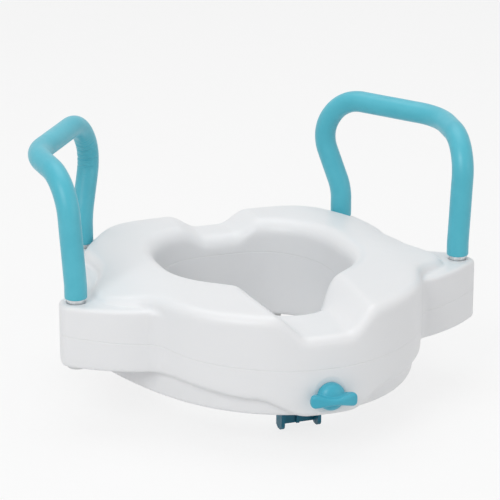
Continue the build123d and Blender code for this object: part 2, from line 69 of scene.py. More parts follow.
# ------------------------------------------------------------------ node helpers
def new_material(name, metallic=0.0, roughness=0.5, specular=0.5):
    material = bpy.data.materials.new(name)
    material.use_nodes = True
    shader = material.node_tree.nodes["Principled BSDF"]
    shader.inputs["Metallic"].default_value = metallic
    shader.inputs["Roughness"].default_value = roughness
    shader.inputs["Specular IOR Level"].default_value = specular
    return material, shader


def add(material, kind, **values):
    node = material.node_tree.nodes.new(kind)
    for name, value in values.items():
        if name in node.inputs:
            node.inputs[name].default_value = value
        else:
            setattr(node, name, value)
    return node


def join(material, start, end):
    material.node_tree.links.new(start, end)


def place(material, stretch=(1.0, 1.0, 1.0)):
    """Object coordinates, stretched."""
    coords = add(material, "ShaderNodeTexCoord")
    mapping = add(material, "ShaderNodeMapping")
    mapping.inputs["Scale"].default_value = stretch
    join(material, coords.outputs["Object"], mapping.inputs["Vector"])
    return mapping.outputs["Vector"]


def ramp(material, source, stops):
    node = add(material, "ShaderNodeValToRGB")
    elements = node.color_ramp.elements
    while len(elements) < len(stops):
        elements.new(0.5)
    for element, (at, color) in zip(elements, stops):
        element.position = at
        element.color = tuple(color) + (1.0,)
    join(material, source, node.inputs["Fac"])
    return node.outputs["Color"]


def noise_of(material, vector, scale, detail=3.0, rough=0.5):
    node = add(material, "ShaderNodeTexNoise")
    node.inputs["Scale"].default_value = scale
    node.inputs["Detail"].default_value = detail
    node.inputs["Roughness"].default_value = rough
    join(material, vector, node.inputs["Vector"])
    return node.outputs["Fac"]


def spread(material, source, low, high):
    node = add(material, "ShaderNodeMapRange")
    node.inputs["From Min"].default_value = 0.3
    node.inputs["From Max"].default_value = 0.7
    node.inputs["To Min"].default_value = low
    node.inputs["To Max"].default_value = high
    join(material, source, node.inputs["Value"])
    return node.outputs["Result"]


def bump(material, shader, layers):
    """Stacks bump layers: (height, strength, distance)."""
    last = None
    for height, strength, distance in layers:
        node = add(material, "ShaderNodeBump")
        node.inputs["Strength"].default_value = strength
        node.inputs["Distance"].default_value = distance
        join(material, height, node.inputs["Height"])
        if last is not None:
            join(material, last, node.inputs["Normal"])
        last = node.outputs["Normal"]
    join(material, last, shader.inputs["Normal"])


# ------------------------------------------------------------------ materials
SEAM_HEIGHT = 0.1270
SEAM_SLOPE = 0.075
SEAM_HALF_WIDTH = 0.0010


def parting_line(m):
    """Faint seam of the mould at half the wings' height, falling towards the front."""
    axes = add(m, "ShaderNodeSeparateXYZ")
    join(m, place(m), axes.inputs["Vector"])
    height = add(m, "ShaderNodeMath", operation="MULTIPLY_ADD")
    join(m, axes.outputs["Y"], height.inputs[0])
    height.inputs[1].default_value = SEAM_SLOPE
    height.inputs[2].default_value = SEAM_HEIGHT
    gap = add(m, "ShaderNodeMath", operation="SUBTRACT")
    join(m, axes.outputs["Z"], gap.inputs[0])
    join(m, height.outputs[0], gap.inputs[1])
    away = add(m, "ShaderNodeMath", operation="ABSOLUTE")
    join(m, gap.outputs[0], away.inputs[0])
    groove = add(m, "ShaderNodeMapRange")
    groove.inputs["From Max"].default_value = SEAM_HALF_WIDTH
    join(m, away.outputs[0], groove.inputs["Value"])
    return groove.outputs["Result"]


def white_plastic():
    """Blow-moulded polyethylene: satin, slightly uneven, with a fine grain."""
    m, shader = new_material("white_plastic", roughness=0.38, specular=0.42)
    here = place(m)
    wide = noise_of(m, here, 7.0, 2.0)
    fine = noise_of(m, here, 1400.0, 2.0)
    waves = noise_of(m, place(m, (1.0, 1.0, 2.2)), 24.0, 1.5)
    color = ramp(m, wide, [(0.3, (0.805, 0.812, 0.826)), (0.7, (0.822, 0.828, 0.840))])
    join(m, color, shader.inputs["Base Color"])
    join(m, spread(m, noise_of(m, here, 60.0), 0.34, 0.43), shader.inputs["Roughness"])
    bump(m, shader, [(waves, 0.10, 0.004), (fine, 0.05, 0.0002), (parting_line(m), 0.55, 0.0006)])
    shader.inputs["Subsurface Weight"].default_value = 0.06
    shader.inputs["Subsurface Scale"].default_value = 0.004
    shader.inputs["Subsurface Radius"].default_value = (1.0, 0.9, 0.8)
    return m


def soft_grip():
    """Foam sleeve with a skin: satin, a fine pore and slow tone changes."""
    m, shader = new_material("turquoise_grip", roughness=0.40, specular=0.50)
    here = place(m)
    tone = noise_of(m, here, 26.0, 3.0, 0.6)
    pores = noise_of(m, here, 1900.0, 3.0, 0.6)
    color = ramp(m, tone, [(0.25, (0.066, 0.440, 0.555)), (0.75, (0.086, 0.488, 0.605))])
    join(m, color, shader.inputs["Base Color"])
    join(m, spread(m, noise_of(m, here, 120.0, 3.0), 0.33, 0.45), shader.inputs["Roughness"])
    bump(m, shader, [(noise_of(m, here, 90.0, 2.0), 0.10, 0.001), (pores, 0.16, 0.0002)])
    shader.inputs["Sheen Weight"].default_value = 0.12
    shader.inputs["Sheen Roughness"].default_value = 0.5
    return m


def moulded(name, dark, light, roughness, grain=0.08):
    """Small injection-moulded pieces: two close tones and a fine grain."""
    m, shader = new_material(name, roughness=roughness, specular=0.45)
    here = place(m)
    color = ramp(m, noise_of(m, here, 40.0, 3.0), [(0.3, dark), (0.7, light)])
    join(m, color, shader.inputs["Base Color"])
    join(m, spread(m, noise_of(m, here, 180.0), roughness - 0.06, roughness + 0.08),
         shader.inputs["Roughness"])
    bump(m, shader, [(noise_of(m, here, 900.0, 2.0), grain, 0.0003)])
    return m


def metal(name, color, roughness, stretch, scale):
    """Bare or plated metal with fine lines drawn out along the stretch."""
    m, shader = new_material(name, metallic=1.0, roughness=roughness)
    lines = noise_of(m, place(m, stretch), scale, 4.0, 0.65)
    tone = ramp(m, lines, [(0.25, [c * 0.92 for c in color]), (0.75, color)])
    join(m, tone, shader.inputs["Base Color"])
    join(m, spread(m, lines, roughness - 0.07, roughness + 0.09), shader.inputs["Roughness"])
    bump(m, shader, [(lines, 0.08, 0.0001)])
    return m


def powder_coat(name, color):
    m, shader = new_material(name, roughness=0.5)
    here = place(m)
    tone = ramp(m, noise_of(m, here, 30.0), [(0.3, [c * 0.96 for c in color]), (0.7, color)])
    join(m, tone, shader.inputs["Base Color"])
    bump(m, shader, [(noise_of(m, here, 700.0, 3.0), 0.2, 0.0003)])
    return m


def pad_rubber():
    m, shader = new_material("pad_rubber", roughness=0.78, specular=0.3)
    here = place(m)
    dark, light = (0.020, 0.020, 0.022), (0.035, 0.035, 0.037)
    tone = ramp(m, noise_of(m, here, 80.0), [(0.3, dark), (0.7, light)])
    join(m, tone, shader.inputs["Base Color"])
    bump(m, shader, [(noise_of(m, here, 600.0), 0.3, 0.0004)])
    return m


looks = {
    "white_plastic": white_plastic(),
    "turquoise_grip": soft_grip(),
    "silver_tube": metal("silver_tube", (0.74, 0.75, 0.76), 0.30, (60.0, 60.0, 1.0), 60.0),
    "natural_plastic": moulded("natural_plastic", (0.62, 0.62, 0.57), (0.68, 0.68, 0.63), 0.5),
    "zinc_steel": metal("zinc_steel", (0.62, 0.63, 0.65), 0.34, (1.0, 1.0, 1.0), 300.0),
    "white_screw_plastic": moulded("white_screw_plastic", (0.74, 0.75, 0.75), (0.78, 0.79, 0.79), 0.45),
    "turquoise_plastic": moulded("turquoise_plastic", (0.042, 0.385, 0.520), (0.056, 0.420, 0.555), 0.36),
    "teal_plastic": moulded("teal_plastic", (0.003, 0.145, 0.230), (0.006, 0.175, 0.270), 0.44, 0.2),
    "hook_steel": powder_coat("hook_steel", (0.72, 0.73, 0.73)),
    "pad_rubber": pad_rubber(),
}
slots = {entry["node"]: entry["material_slot"] for entry in frame["record"]["subparts"]}


def dress(obj, look):
    obj.data.materials.clear()
    obj.data.materials.append(looks[look])


for node, obj in frame["nodes"].items():
    dress(obj, slots[node])


# ------------------------------------------------------------------ moulded body
FRONT, REAR, FLANK = -0.223, 0.232, 0.200
SOCKETS = ((0.2578, -0.0264), (0.1845, 0.1936))
RING_Y = 0.010
BASE_Z, WING_Z, WING_TOP, SEAT_Z, LOCK_Z = 0.051, 0.084, 0.163, 0.183, 0.077
BASE_TOP = 0.112                # the base ends at this height inside the ring
SKIN = -0.0003                  # how deep the drawn skin lies in the CAD solid; below 0 it stands out
MOST_SLANT = 1.35               # an edge that a spoke meets at a slant is widened this much at most
BOW = 0.58                      # lead of a cubic edge, as a share of its size
SPOKES = 480
WING_FROM, WING_SWEEP, WING_STEP = -50.0, 120.0, 0.75      # degrees round the ring


def spline(corners, per_span=16):
    """Smooth closed curve through points given for X >= 0 and mirrored."""
    points = corners + [(-x, y) for x, y in reversed(corners) if x > 0]
    n = len(points)
    steps = [math.dist(points[i], points[(i + 1) % n]) for i in range(n)]
    bends = []
    for axis in (0, 1):
        rows = [[0.0] * (n + 1) for i in range(n)]
        for i in range(n):
            a, b = steps[i - 1], steps[i]
            rows[i][i - 1] += a
            rows[i][i] += 2 * (a + b)
            rows[i][(i + 1) % n] += b
            rows[i][n] = 6 * ((points[(i + 1) % n][axis] - points[i][axis]) / b
                              - (points[i][axis] - points[i - 1][axis]) / a)
        for i in range(n):
            pivot = rows[i][i]
            rows[i] = [v / pivot for v in rows[i]]
            for k in range(n):
                if k != i and rows[k][i] != 0.0:
                    factor = rows[k][i]
                    rows[k] = [v - factor * w for v, w in zip(rows[k], rows[i])]
        bends.append([row[n] for row in rows])
    line = []
    for i in range(n):
        k, h = (i + 1) % n, steps[i]
        for j in range(per_span):
            u = h * j / per_span
            spot = []
            for axis in (0, 1):
                m = bends[axis]
                p, q = points[i][axis], points[k][axis]
                spot.append(m[i] * (h - u) ** 3 / (6 * h) + m[k] * u ** 3 / (6 * h)
                            + (p / h - m[i] * h / 6) * (h - u) + (q / h - m[k] * h / 6) * u)
            line.append(tuple(spot))
    return line


def rounded(corners):
    """Closed outline of straight runs and arcs, mirrored in X."""
    loop = corners + [(-x, y, r) for x, y, r in reversed(corners)]
    line = []
    for i, (x, y, r) in enumerate(loop):
        here = Vector((x, y))
        before = (Vector(loop[i - 1][:2]) - here)
        after = (Vector(loop[(i + 1) % len(loop)][:2]) - here)
        half = before.angle(after) / 2
        cut = r / math.tan(half)
        start, end = here + before.normalized() * cut, here + after.normalized() * cut
        for k in range(13):
            t = k / 12
            line.append(tuple(start.lerp(here, t).lerp(here.lerp(end, t), t)))
    return line


class Polar:
    """A closed outline as a radius for each angle round the middle of the ring."""

    def __init__(self, line):
        pairs = sorted((math.atan2(y - RING_Y, x), math.hypot(x, y - RING_Y)) for x, y in line)
        self.table = ([(a - 2 * math.pi, r) for a, r in pairs] + pairs
                      + [(a + 2 * math.pi, r) for a, r in pairs])

    def radius(self, angle):
        low, high = 0, len(self.table) - 1
        while high - low > 1:
            middle = (low + high) // 2
            if self.table[middle][0] <= angle:
                low = middle
            else:
                high = middle
        (a0, r0), (a1, r1) = self.table[low], self.table[high]
        return r0 + (r1 - r0) * (angle - a0) / (a1 - a0)

    def slant(self, angle):
        change = (self.radius(angle + 0.02) - self.radius(angle - 0.02)) / 0.04
        return math.sqrt(1 + (change / self.radius(angle)) ** 2)


LOBE_X, LOBE_Y = SOCKETS[0][0] - 0.024, SOCKETS[0][1] - 0.0186
NECK = 0.044
seat_outline = Polar(spline([
    (0, FRONT), (0.060, FRONT + 0.010), (0.105, FRONT + 0.033), (0.147, -0.151), (0.167, -0.114),
    (0.181, -0.084), (0.206, -0.064), (LOBE_X - 0.005, LOBE_Y), (LOBE_X, LOBE_Y + 0.027),
    (LOBE_X - 0.011, LOBE_Y + 0.063), (FLANK + 0.005, LOBE_Y + 0.097), (FLANK, LOBE_Y + 0.145),
    (FLANK - 0.003, REAR - 0.087), (SOCKETS[1][0] - 0.012, SOCKETS[1][1] - 0.012),
    (0.138, REAR - 0.014), (0.080, REAR), (0, REAR)]))
opening_outline = Polar(spline([
    (0, -0.120), (NECK - 0.022, -0.114), (NECK, -0.091), (NECK + 0.024, -0.066), (0.100, -0.038),
    (0.118, -0.004), (0.122, 0.040), (0.118, 0.090), (0.097, 0.132), (0.055, 0.160), (0, 0.165)]))
base_outline = Polar(spline([
    (0, FRONT + 0.009), (0.056, FRONT + 0.020), (0.102, FRONT + 0.047), (0.151, FRONT + 0.103),
    (0.187, FRONT + 0.181), (0.207, FRONT + 0.254), (0.209, 0.090), (0.190, REAR - 0.087),
    (0.152, REAR - 0.036), (0.105, REAR - 0.013), (0.060, REAR - 0.009), (0, REAR - 0.009)]))
wing_outline = Polar(rounded([
    (0.100, -0.130, 0.010), (0.152, -0.140, 0.005), (0.1754, -0.098, 0.035),
    (0.2800, -0.038, 0.015), (0.2750, -0.008, 0.020), (0.226, 0.028, 0.040),
    (0.216, 0.1096, 0.200), (0.2075, 0.2186, 0.022), (0.120, REAR - 0.008, 0.040),
    (0.100, REAR - 0.020, 0.010)]))


def ease(share):
    share = min(max(share, 0.0), 1.0)
    return share * share * (3 - 2 * share)


def seat_height(x, y):
    across = abs(x)
    depth = 0.028 if y < 0 else 0.0174
    half = 0.062 + 0.08 * y if y < 0 else 0.062 - 0.12 * y
    z = SEAT_Z - 0.005 * ease(y / FRONT)
    z -= depth * (1 - ease((across - half) / 0.040 + 0.5))
    return z - 0.012 * ease((across - 0.144) / (LOBE_X - 0.144))


def wave_height(x, y):
    rise = ease((abs(x) - 0.028) / 0.060)
    reach = ease((abs(x) - 0.088) / 0.090)
    front = BASE_Z + 0.022 * rise + (WING_Z - BASE_Z - 0.022) * reach
    return front + (WING_Z + 0.014 - front) * ease((y + 0.094) / 0.030)


def curve_between(a, b, lead_a, lead_b, reach, count):
    """Cubic from a to b that leaves along lead_a and arrives along lead_b."""
    p, q = a + lead_a * reach, b - lead_b * reach
    found = []
    for k in range(1, count):
        t = k / count
        found.append(a * (1 - t) ** 3 + p * 3 * t * (1 - t) ** 2
                     + q * 3 * t * t * (1 - t) + b * t ** 3)
    return found


def straight(a, b, count):
    return [a.lerp(b, k / count) for k in range(count)]


def ring_profile(angle):
    """Points (radius, height) round one spoke of the seat ring."""
    slant_out = seat_outline.slant(angle)
    slant_in = opening_outline.slant(angle)
    outer = seat_outline.radius(angle) - SKIN * slant_out
    inner = opening_outline.radius(angle) + SKIN * slant_in
    edge, lip, under = 0.014, 0.022, 0.008
    crest_out = outer - edge * min(slant_out, MOST_SLANT)
    crest_in = inner + lip * min(slant_in, MOST_SLANT)

    def height(r):
        return seat_height(r * math.cos(angle), RING_Y + r * math.sin(angle)) - SKIN

    def inward(r):
        return Vector((-1.0, -(height(r + 0.001) - height(r - 0.001)) / 0.002)).normalized()

    rim = seat_outline.radius(angle)
    wave = wave_height(rim * math.cos(angle), RING_Y + rim * math.sin(angle)) + SKIN
    up = Vector((0.0, 1.0))
    foot_out = Vector((outer, wave + under))
    foot_under = Vector((outer - under * min(slant_out, MOST_SLANT), wave))
    foot_in = Vector((inner, BASE_Z + 0.0008))
    side_out = Vector((outer, height(crest_out) - edge))
    side_in = Vector((inner, height(crest_in) - lip))
    top_out = Vector((crest_out, height(crest_out)))
    top_in = Vector((crest_in, height(crest_in)))
    points = straight(foot_out, side_out, 8) + [side_out]
    points += curve_between(side_out, top_out, up, inward(crest_out), BOW * edge, 9)
    for k in range(17):
        r = crest_out + (crest_in - crest_out) * k / 16
        points.append(Vector((r, height(r))))
    points += curve_between(top_in, side_in, inward(crest_in), -up, BOW * lip, 11)
    points += straight(side_in, foot_in, 8) + straight(foot_in, foot_under, 5) + [foot_under]
    points += curve_between(foot_under, foot_out, Vector((1.0, 0.0)), up, BOW * under, 6)
    return points


def corner(at, radius, start, count=5):
    """Points of a quarter circle whose square corner is at this place."""
    found = []
    for k in range(count + 1):
        turn = math.radians(start + 90 * k / count)
        found.append(at + Vector((math.cos(turn), math.sin(turn))) * radius)
    return found


def wing_profile(angle):
    outer = wing_outline.radius(angle) - SKIN * wing_outline.slant(angle)
    inner = opening_outline.radius(angle) + 0.030
    r = 0.005
    low, high = WING_Z + SKIN, WING_TOP - SKIN
    points = corner(Vector((outer - r, low + r)), r, -90)
    points += corner(Vector((outer - r, high - r)), r, 0)
    return points + [Vector((inner, high)), Vector((inner, low))]


def base_profile(angle):
    slant = base_outline.slant(angle)
    outer = base_outline.radius(angle) - SKIN * slant
    flared = base_outline.radius(angle) * 1.02 - SKIN * slant
    inner = opening_outline.radius(angle) + 0.002
    low, high, r = BASE_Z + SKIN, BASE_TOP, 0.003
    points = corner(Vector((outer - r, low + r)), r, -90)
    return points + [Vector((flared, high)), Vector((inner, high)), Vector((inner, low))]


def stitch(build, rows, closed=False):
    """Faces between neighbouring rows, each of which goes round a closed slice."""
    pairs = list(zip(rows, rows[1:])) + ([(rows[-1], rows[0])] if closed else [])
    for a, b in pairs:
        for k in range(len(a)):
            n = (k + 1) % len(a)
            build.faces.new((a[k], b[k], b[n], a[n]))


def sweep_round(build, profile, angles, closed):
    """The profile of each spoke, stitched to the next one round the ring."""
    rows = []
    for angle in angles:
        c, s = math.cos(angle), math.sin(angle)
        rows.append([build.verts.new((p.x * c, RING_Y + p.x * s - MIDDLE_Y, p.y)) for p in profile(angle)])
    stitch(build, rows, closed)
    if not closed:
        build.faces.new(rows[0])
        build.faces.new(rows[-1][::-1])


def solid_mesh(name, fill):
    mesh = bpy.data.meshes.new(name)
    build = bmesh.new()
    fill(build)
    bmesh.ops.recalc_face_normals(build, faces=build.faces)
    build.to_mesh(mesh)
    build.free()
    obj = bpy.data.objects.new(name, mesh)
    bpy.context.scene.collection.objects.link(obj)
    return obj


def body_blank(build):
    whole = [2 * math.pi * k / SPOKES for k in range(SPOKES)]
    sweep_round(build, ring_profile, whole, True)
    sweep_round(build, base_profile, whole[::2], True)
    right = [math.radians(WING_FROM + WING_STEP * k) for k in range(int(WING_SWEEP / WING_STEP) + 1)]
    sweep_round(build, wing_profile, right, False)
    sweep_round(build, wing_profile, [math.pi - a for a in right], False)


def lathe(build, axis_at, along, profile, around=48):
    """Turned form round an axis: profile is (distance along, radius)."""
    side = Vector((1.0, 0.0, 0.0))
    other = along.cross(side)
    rows = []
    for distance, radius in profile:
        rows.append([build.verts.new(axis_at + along * distance
                                     + (side * math.cos(2 * math.pi * k / around)
                                        + other * math.sin(2 * math.pi * k / around)) * radius)
                     for k in range(around)])
    for a, b in zip(rows, rows[1:]):
        for k in range(around):
            n = (k + 1) % around
            build.faces.new((a[k], a[n], b[n], b[k]))
    build.faces.new(rows[0][::-1])
    build.faces.new(rows[-1])


def block(build, low, high):
    made = bmesh.ops.create_cube(build, size=1.0)
    for vertex in made["verts"]:
        vertex.co = Vector([low[i] + (high[i] - low[i]) * (vertex.co[i] + 0.5) for i in range(3)])


# turned cutters, as (distance along the axis, radius)
SOCKET_CUT = ((0.0915, 0.0114), (0.1618, 0.0114), (0.1632, 0.0128), (0.18, 0.0130))
SCREW_CUT = ((0.07, 0.0045), (0.0920, 0.0045))
LOCK_CUT = ((-0.010, 0.0145), (0.0021, 0.0145), (0.00211, 0.0123), (0.0042, 0.0123),
            (0.00421, 0.0083), (0.03, 0.0083))
DRAIN_CUT = ((0.0, 0.004), (0.02, 0.004))
DRAIN_X = (0.122 + 0.209) / 2   # halfway between the opening and the base's flank
DISH_RADIUS, DISH_DEPTH, DISH_STEPS = 0.024, 0.002, 12
HOUSING_LOW, HOUSING_HIGH = (-0.0272, 0.0265, 0.02), (0.0272, 0.125, 0.0962)       # from the front


def body_cuts(build):
    """Sockets and screw holes, the clamp's housing, the lock's hole and dish, and the drains."""
    up, back = Vector((0.0, 0.0, 1.0)), Vector((0.0, 1.0, 0.0))
    for x, y in SOCKETS:
        for side in (1, -1):
            at = Vector((side * x, y - MIDDLE_Y, 0.0))
            lathe(build, at, up, SOCKET_CUT)
            lathe(build, at, up, SCREW_CUT, 24)
    front = FRONT - MIDDLE_Y
    low, high = ((x, front + y, z) for x, y, z in (HOUSING_LOW, HOUSING_HIGH))
    block(build, low, high)
    at = Vector((0.0, front, LOCK_Z))
    lathe(build, at, back, LOCK_CUT)
    shares = [k / DISH_STEPS for k in range(1, DISH_STEPS + 1)]
    dish = [(-DISH_DEPTH + DISH_DEPTH * t ** 2, DISH_RADIUS * t) for t in shares]
    lathe(build, at, -back, dish + [(0.004, DISH_RADIUS + 0.0005)])
    for side in (1, -1):
        lathe(build, Vector((side * DRAIN_X, RING_Y - MIDDLE_Y, 0.04)), up, DRAIN_CUT, 20)


def melt(obj, voxel, rounds):
    """Melts overlapping closed forms into one skin and rounds its edges."""
    remesh = obj.modifiers.new("remesh", "REMESH")
    remesh.mode = "VOXEL"
    remesh.voxel_size = voxel
    soften = obj.modifiers.new("soften", "SMOOTH")
    soften.factor = 0.5
    soften.iterations = rounds


def apply_modifiers(obj):
    """Puts the finished mesh in place of the rough one."""
    graph = bpy.context.evaluated_depsgraph_get()
    mesh = bpy.data.meshes.new_from_object(obj.evaluated_get(graph))
    obj.modifiers.clear()
    rough = obj.data
    obj.data = mesh
    mesh.name = obj.name + "_mesh"
    bpy.data.meshes.remove(rough)
    return mesh


SHARPEST_SMOOTH = math.radians(32)


def moulded_body():
    body = solid_mesh("seat_shell", body_blank)
    melt(body, 0.0019, 9)
    cuts = solid_mesh("cuts", body_cuts)
    carve = body.modifiers.new("carve", "BOOLEAN")
    carve.operation = "DIFFERENCE"
    carve.solver = "EXACT"
    carve.use_self = True
    carve.object = cuts
    mesh = apply_modifiers(body)
    bpy.data.objects.remove(cuts)
    build = bmesh.new()
    build.from_mesh(mesh)
    for edge in build.edges:
        edge.smooth = not (len(edge.link_faces) == 2 and edge.calc_face_angle() > SHARPEST_SMOOTH)
    for face in build.faces:
        face.smooth = True
    build.to_mesh(mesh)
    build.free()
    dress(body, "white_plastic")
    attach(body, "seat")
    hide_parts("seat_body")


moulded_body()


# ------------------------------------------------------------------ knob
KNOB_HALF_SPAN = 0.0298
KNOB_HUB_RADIUS = 0.0173
BLADE_DROP = 0.0020             # the blade sits this far below the hub's axis
BLADE_SLOPE = 0.05
KNOB_RIM, KNOB_DOME = 0.0055, 0.0112        # straight rim, then the dome's height
BLADE_SLICES, SLICE_POINTS = 60, 28


def blade_section(x, front, back, middle_z):
    """Rounded slice of the wing blade at this place along its span: a thick middle, taller tips."""
    share = abs(x) / KNOB_HALF_SPAN
    near = front + 0.0010 + 0.0060 * min(1.0, share) ** 1.6
    far = back - 0.0030 - 0.0060 * ease((abs(x) - 0.014) / (KNOB_HALF_SPAN - 0.014))
    half_height = 0.0046 + 0.0036 * ease(share / 0.85)
    tip = math.sqrt(max(0.0, 1.0 - max(0.0, (share - 0.80) / 0.2) ** 2.4))
    half_height *= 0.35 + 0.65 * tip
    half_depth = (far - near) / 2 * (0.62 + 0.38 * tip)
    middle_y = (near + far) / 2
    points = []
    for k in range(SLICE_POINTS):
        turn = 2 * math.pi * k / SLICE_POINTS
        c, s = math.cos(turn), math.sin(turn)
        points.append((x, middle_y + half_depth * math.copysign(abs(c) ** 0.55, c),
                       middle_z - BLADE_DROP - BLADE_SLOPE * x
                       + half_height * math.copysign(abs(s) ** 0.62, s)))
    return points


def knob_blank(build):
    low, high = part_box("lock_knob")
    middle_z = (low[2] + high[2]) / 2
    front, back = low[1] + 0.0003, high[1] - 0.0002
    dome = [(0.0, 0.012), (0.0, KNOB_HUB_RADIUS - 0.0008), (0.0010, KNOB_HUB_RADIUS)]
    for degrees in range(0, 90, 6):
        a = math.radians(degrees)
        dome.append((KNOB_RIM + KNOB_DOME * math.sin(a), KNOB_HUB_RADIUS * math.cos(a) ** 0.9))
    dome.append((KNOB_RIM + KNOB_DOME, 0.0006))
    lathe(build, Vector((0.0, back, middle_z)), Vector((0.0, -1.0, 0.0)), dome, 64)
    rows = []
    half = BLADE_SLICES // 2
    for k in range(BLADE_SLICES + 1):
        x = KNOB_HALF_SPAN * (k - half) / half
        rows.append([build.verts.new(p) for p in blade_section(x, front, back, middle_z)])
    stitch(build, rows)
    build.faces.new(rows[0])
    build.faces.new(rows[-1][::-1])


def wing_knob():
    knob = solid_mesh("wing_knob", knob_blank)
    melt(knob, 0.0006, 5)
    for face in apply_modifiers(knob).polygons:
        face.use_smooth = True
    dress(knob, "turquoise_plastic")
    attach(knob, "lock")
    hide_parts("lock_knob")


wing_knob()


# ------------------------------------------------------------------ arm sleeves
SLEEVE_FOOT = WING_TOP + 0.005
ARM_CORNERS = [                 # place of each corner and the radius of its bend
    ((*SOCKETS[0], SLEEVE_FOOT), 0.0), ((*SOCKETS[0], 0.1850), 0.150),
    ((0.2662, -0.0224, 0.3169), 0.054), ((0.2770, 0.0788, 0.3268), 0.073),
    ((0.1870, 0.1933, 0.3330), 0.073), ((0.1641, 0.2195, 0.2854), 0.054),
    ((*SOCKETS[1], 0.2070), 0.073), ((*SOCKETS[1], SLEEVE_FOOT), 0.0),
]
SLEEVE_RADIUS = 0.01425
SLEEVE_INSET = 0.00013          # the drawn skin lies this far inside the CAD sleeve
SLEEVE_AROUND = 72
END_ROUNDING = 0.0025
SEAM_DEPTH, SEAM_HALF_ANGLE = 0.00012, 0.045
TUBE_RADIUS = 0.0110
MOST_BULGE = 0.0004             # beside a fold the skin swells this much at most
REAR_FROM = 0.13                # the rear leg's bends lie behind this
BEND_HEIGHT = 0.300


def arm_line(side, step=0.0009):
    """Points down the middle of an arm, each with its direction and its inward bend."""
    corners = [Vector((side * x, y - MIDDLE_Y, z)) for (x, y, z), r in ARM_CORNERS]
    wanted = [r for spot, r in ARM_CORNERS]
    points = []
    at = corners[0]
    for i in range(1, len(corners) - 1):
        into = (corners[i] - corners[i - 1])
        out = (corners[i + 1] - corners[i])
        half = into.angle(out) / 2
        cut = min(wanted[i] * math.tan(half), 0.48 * min(into.length, out.length))
        radius = cut / math.tan(half)
        into.normalize()
        out.normalize()
        start = corners[i] - into * cut
        run = (start - at).length
        count = max(int(run / step), 1)
        points += [(at + (start - at) * k / count, into, Vector()) for k in range(count)]
        inward = (out - into).normalized()
        centre = corners[i] + inward * (radius / math.cos(half))
        count = max(int(2 * half * radius / step), 2)
        for k in range(count):
            turn = 2 * half * k / count
            heading = (into * math.sin(2 * half - turn) + out * math.sin(turn)).normalized()
            toward = (inward - heading * inward.dot(heading)).normalized()
            points.append((centre - toward * radius, heading, toward))
        at = corners[i] + out * cut
    last = (corners[-1] - corners[-2]).normalized()
    count = max(int((corners[-1] - at).length / step), 1)
    points += [(at + (corners[-1] - at) * k / count, last, Vector()) for k in range(count + 1)]
    return points


def walk(side):
    """Each point of an arm: length so far, place, heading, inward bend and two ways across."""
    points = arm_line(side)
    normal = Vector((0.0, -1.0, 0.0))
    length = 0.0
    last = points[0][0]
    for at, heading, toward in points:
        length += (at - last).length
        last = at
        normal = (normal - heading * normal.dot(heading)).normalized()
        yield length, at, heading, toward, normal, heading.cross(normal)


def fold_depth(length, angle, folds):
    """How far the skin sinks where it is squeezed.

    A fold is (place along the arm, half width, depth, reach round the arm, middle of that reach).
    """
    depth = 0.0
    for spot, width, deep, reach, middle in folds:
        away = abs((angle - middle + math.pi) % (2 * math.pi) - math.pi)
        if away > reach:
            continue
        fade = math.cos(away / reach * math.pi / 2) ** 0.7
        bow = 0.0022 * (away / reach) ** 2
        waver = 0.0010 * noise.noise(Vector((angle * 1.7, spot * 900.0, 3.0)))
        t = (length - spot + bow + waver) / width
        if abs(t) < 3:
            ridge = 0.42 * math.exp(-(abs(t) - 1.5) ** 2 * 3.0)
            depth += fade * deep * (math.exp(-t * t * 2.2) - ridge)
    return depth


def turn_in(build, ring, at, inward):
    """Carries an end of the sleeve over its cut face and a little way down the tube."""
    rows = [ring]
    for gap, deep in ((0.0006, 0.0), (0.0002, 0.0005), (0.0002, 0.006)):
        radius = TUBE_RADIUS + gap
        rows.append([build.verts.new(at + (v.co - at).normalized() * radius + inward * deep) for v in ring])
    stitch(build, rows)


def sleeve(name, side, body, folds, seam_angle):
    steps = list(walk(side))
    total = steps[-1][0]
    build = bmesh.new()
    rings = []
    for length, at, heading, toward, normal, other in steps:
        end = min(length, total - length)
        trim = END_ROUNDING - math.sqrt(max(END_ROUNDING**2 - max(END_ROUNDING - end, 0.0) ** 2, 0.0))
        ring = []
        for k in range(SLEEVE_AROUND):
            angle = 2 * math.pi * k / SLEEVE_AROUND
            away = abs((angle - seam_angle + math.pi) % (2 * math.pi) - math.pi)
            seam = SEAM_DEPTH * math.exp(-(away / SEAM_HALF_ANGLE) ** 2)
            lumps = 0.00012 * noise.noise(Vector((length * 30.0, math.cos(angle), math.sin(angle))))
            radius = SLEEVE_RADIUS - trim - seam - SLEEVE_INSET + lumps
            radius -= max(fold_depth(length, angle, folds), -MOST_BULGE)
            out = normal * math.cos(angle) + other * math.sin(angle)
            ring.append(build.verts.new(at + out * radius))
        rings.append(ring)
    stitch(build, rings)
    for ring, step, way in ((rings[0], steps[0], 1), (rings[-1], steps[-1], -1)):
        turn_in(build, ring, step[1], step[2] * way)
    mesh = bpy.data.meshes.new(name)
    bmesh.ops.recalc_face_normals(build, faces=build.faces)
    build.to_mesh(mesh)
    build.free()
    for face in mesh.polygons:
        face.use_smooth = True
    obj = bpy.data.objects.new(name, mesh)
    bpy.context.scene.collection.objects.link(obj)
    dress(obj, "turquoise_grip")
    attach(obj, body)


def rear_bend(side):
    """Length along the arm, and angle round it, of the inner side of its rear bend."""
    found = []
    for length, at, heading, toward, normal, other in walk(side):
        if toward.length > 0 and at.y > REAR_FROM:
            angle = math.atan2(toward.dot(other), toward.dot(normal))
            found.append((abs(at.z - BEND_HEIGHT), length, angle))
    return min(found)[1:]


